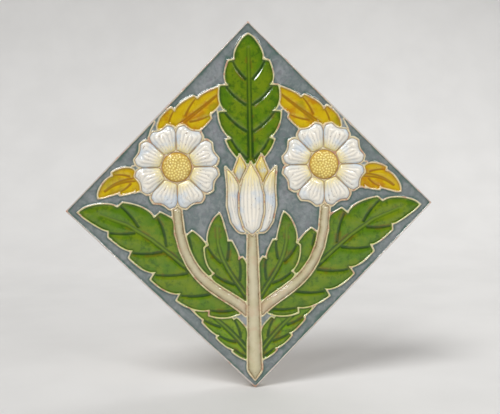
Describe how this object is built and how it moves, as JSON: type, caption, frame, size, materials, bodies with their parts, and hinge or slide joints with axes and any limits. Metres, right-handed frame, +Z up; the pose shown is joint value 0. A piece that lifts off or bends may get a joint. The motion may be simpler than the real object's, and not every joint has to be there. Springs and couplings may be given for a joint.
{
  "type": "relief wall tile",
  "caption": "Square art nouveau wall tile set on its corner, with moulded flowers, stems and leaves in coloured glazes.",
  "frame": {"origin": "centre of the tile's back face", "axes": "+Y out of the back, so the glazed face looks along -Y; +Z up through the top corner, along the main stem; +X to the right of a viewer who looks at the face"},
  "size_m": [0.2156, 0.0111, 0.2156],
  "materials": {
    "body_clay": "matt biscuit, cream, with thin clear glaze on the outlines",
    "glaze_green": "gloss, translucent, darker where it pools",
    "glaze_lime": "gloss, translucent, darker where it pools",
    "glaze_amber": "gloss, translucent, brown where it pools",
    "glaze_white": "gloss, opaque",
    "glaze_yellow": "gloss, opaque",
    "glaze_buff": "gloss",
    "glaze_grey_blue": "gloss, mottled"
  },
  "bodies": {
    "root": {"rosette_heart_right": "glaze_yellow", "rosette_petal_right_1": "glaze_white", "rosette_petal_right_2": "glaze_white", "rosette_petal_right_3": "glaze_white", "rosette_petal_right_4": "glaze_white", "rosette_petal_right_5": "glaze_white", "rosette_petal_right_6": "glaze_white", "rosette_petal_right_7": "glaze_white", "rosette_petal_right_8": "glaze_white", "rosette_heart_left": "glaze_yellow", "rosette_petal_left_1": "glaze_white", "rosette_petal_left_2": "glaze_white", "rosette_petal_left_3": "glaze_white", "rosette_petal_left_4": "glaze_white", "rosette_petal_left_5": "glaze_white", "rosette_petal_left_6": "glaze_white", "rosette_petal_left_7": "glaze_white", "rosette_petal_left_8": "glaze_white", "tulip_front_petal": "glaze_white", "tulip_side_petal_right": "glaze_white", "tulip_side_petal_left": "glaze_white", "tulip_back_petal_right": "glaze_yellow", "tulip_back_petal_left": "glaze_yellow", "main_stem": "glaze_buff", "branch_stem_right": "glaze_buff", "branch_stem_left": "glaze_buff", "top_leaf": "glaze_green", "inner_leaf_right": "glaze_green", "inner_leaf_left": "glaze_green", "side_leaf_right_1": "glaze_green", "side_leaf_right_2": "glaze_green", "side_leaf_left_1": "glaze_green", "side_leaf_left_2": "glaze_green", "low_leaf_right": "glaze_lime", "low_leaf_left": "glaze_lime", "upper_amber_leaf_right": "glaze_amber", "upper_amber_leaf_left": "glaze_amber", "corner_amber_leaf_right": "glaze_amber", "corner_amber_leaf_left": "glaze_amber", "ground_glaze_1": "glaze_grey_blue", "ground_glaze_2": "glaze_grey_blue", "ground_glaze_3": "glaze_grey_blue", "ground_glaze_4": "glaze_grey_blue", "tile_body": "body_clay"}
  },
  "joints": []
}
